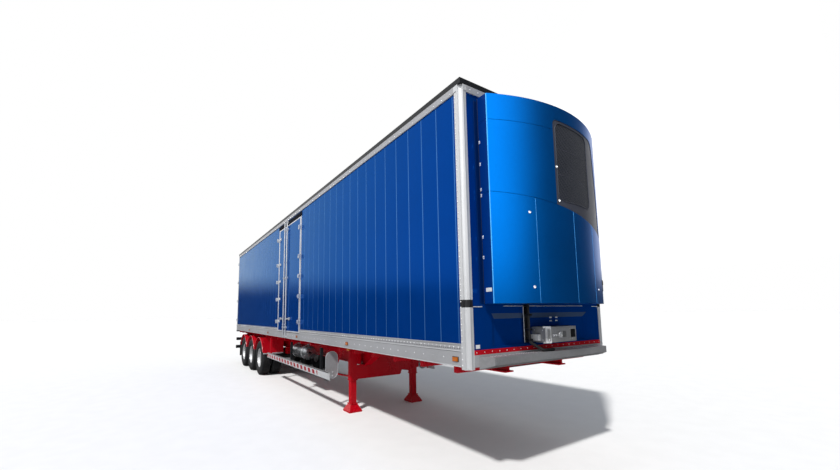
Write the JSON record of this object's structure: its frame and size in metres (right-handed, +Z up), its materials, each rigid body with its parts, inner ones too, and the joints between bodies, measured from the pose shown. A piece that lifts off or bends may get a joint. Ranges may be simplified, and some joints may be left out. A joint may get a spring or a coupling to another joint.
{
  "type": "refrigerated box semi trailer",
  "caption": "Refrigerated box semi trailer with a nose-mounted cooling unit, side and rear doors, landing legs, side guards and a rear axle group on twin tyres.",
  "frame": {"origin": "on the ground under the middle of the whole trailer", "axes": "+X forward, towards the cooling unit and kingpin; +Y to the trailer's left; +Z up"},
  "size_m": [14.47, 2.562, 4.417],
  "materials": {
    "floor_alloy": "extruded, satin",
    "body_blue": "gloss",
    "roof_white": "gloss",
    "rail_silver": "satin",
    "trim_black": "matt",
    "step_grey": "satin",
    "unit_blue": "gloss",
    "grille_dark": "matt",
    "machine_dark": "matt",
    "box_grey": "satin",
    "hose_black": "matt",
    "fitting_zinc": "galvanised",
    "chassis_red": "gloss",
    "coupler_steel": "greased",
    "axle_black": "satin",
    "guard_white": "gloss",
    "plate_grey": "satin",
    "tank_polished": "polished",
    "flap_rubber": "matt",
    "lamp_amber": "gloss",
    "tyre_rubber": "matt",
    "wheel_silver": "satin"
  },
  "bodies": {
    "trailer": {"floor": "floor_alloy", "side_walls": "body_blue", "front_wall": "body_blue", "roof": "roof_white", "bottom_rails": "rail_silver", "top_rails": "rail_silver", "corner_posts": "rail_silver", "rear_frame": "rail_silver", "roof_edge": "trim_black", "door_gutter": "trim_black", "rear_bars": "trim_black", "front_step": "step_grey", "unit_lower_cover": "unit_blue", "unit_upper_cover": "unit_blue", "unit_grille": "grille_dark", "unit_frame": "machine_dark", "unit_machine": "machine_dark", "service_box": "box_grey", "service_hose": "hose_black", "hinge_brackets": "fitting_zinc", "main_beams": "chassis_red", "cross_members": "chassis_red", "landing_leg_tubes": "chassis_red", "landing_feet": "chassis_red", "leg_bracing": "chassis_red", "leg_drive": "chassis_red", "mudguards": "chassis_red", "kick_strip": "chassis_red", "spring_hangers": "chassis_red", "coupler_plate": "coupler_steel", "kingpin": "coupler_steel", "axles": "axle_black", "leaf_springs": "axle_black", "side_guards": "guard_white", "guard_stays": "guard_white", "guard_plates": "plate_grey", "air_tank": "tank_polished", "mud_flaps": "flap_rubber", "marker_lamps": "lamp_amber"},
    "wheels_first_left": {"tyres_first_left": "tyre_rubber", "wheel_first_left": "wheel_silver"},
    "wheels_first_right": {"tyres_first_right": "tyre_rubber", "wheel_first_right": "wheel_silver"},
    "wheels_second_left": {"tyres_second_left": "tyre_rubber", "wheel_second_left": "wheel_silver"},
    "wheels_second_right": {"tyres_second_right": "tyre_rubber", "wheel_second_right": "wheel_silver"},
    "wheels_third_left": {"tyres_third_left": "tyre_rubber", "wheel_third_left": "wheel_silver"},
    "wheels_third_right": {"tyres_third_right": "tyre_rubber", "wheel_third_right": "wheel_silver"},
    "side_door_front_leaf": {"side_door_front": "body_blue", "side_door_front_fittings": "fitting_zinc"},
    "side_door_rear_leaf": {"side_door_rear": "body_blue", "side_door_rear_fittings": "fitting_zinc"},
    "rear_door_left_leaf": {"rear_door_left": "body_blue", "rear_door_left_fittings": "fitting_zinc"},
    "rear_door_right_leaf": {"rear_door_right": "body_blue", "rear_door_right_fittings": "fitting_zinc"}
  },
  "joints": [
    {"name": "spin_first_left", "type": "hinge", "parent": "trailer", "child": "wheels_first_left", "pos_m": [-2.968, 0.92, 0.525], "axis": [0, 1, 0], "continuous": true},
    {"name": "spin_first_right", "type": "hinge", "parent": "trailer", "child": "wheels_first_right", "pos_m": [-2.968, -0.92, 0.525], "axis": [0, 1, 0], "continuous": true},
    {"name": "spin_second_left", "type": "hinge", "parent": "trailer", "child": "wheels_second_left", "pos_m": [-4.275, 0.92, 0.525], "axis": [0, 1, 0], "continuous": true},
    {"name": "spin_second_right", "type": "hinge", "parent": "trailer", "child": "wheels_second_right", "pos_m": [-4.275, -0.92, 0.525], "axis": [0, 1, 0], "continuous": true},
    {"name": "spin_third_left", "type": "hinge", "parent": "trailer", "child": "wheels_third_left", "pos_m": [-5.582, 0.92, 0.525], "axis": [0, 1, 0], "continuous": true},
    {"name": "spin_third_right", "type": "hinge", "parent": "trailer", "child": "wheels_third_right", "pos_m": [-5.582, -0.92, 0.525], "axis": [0, 1, 0], "continuous": true},
    {"name": "side_door_front_hinge", "type": "hinge", "parent": "trailer", "child": "side_door_front_leaf", "pos_m": [1.251, -1.287, 2.79], "axis": [0, 0, 1], "range_deg": [0, 180]},
    {"name": "side_door_rear_hinge", "type": "hinge", "parent": "trailer", "child": "side_door_rear_leaf", "pos_m": [-0.669, -1.287, 2.79], "axis": [0, 0, -1], "range_deg": [0, 180]},
    {"name": "rear_door_left_hinge", "type": "hinge", "parent": "trailer", "child": "rear_door_left_leaf", "pos_m": [-7.22, 1.245, 2.83], "axis": [0, 0, -1], "range_deg": [0, 270]},
    {"name": "rear_door_right_hinge", "type": "hinge", "parent": "trailer", "child": "rear_door_right_leaf", "pos_m": [-7.22, -1.245, 2.83], "axis": [0, 0, 1], "range_deg": [0, 270]}
  ]
}
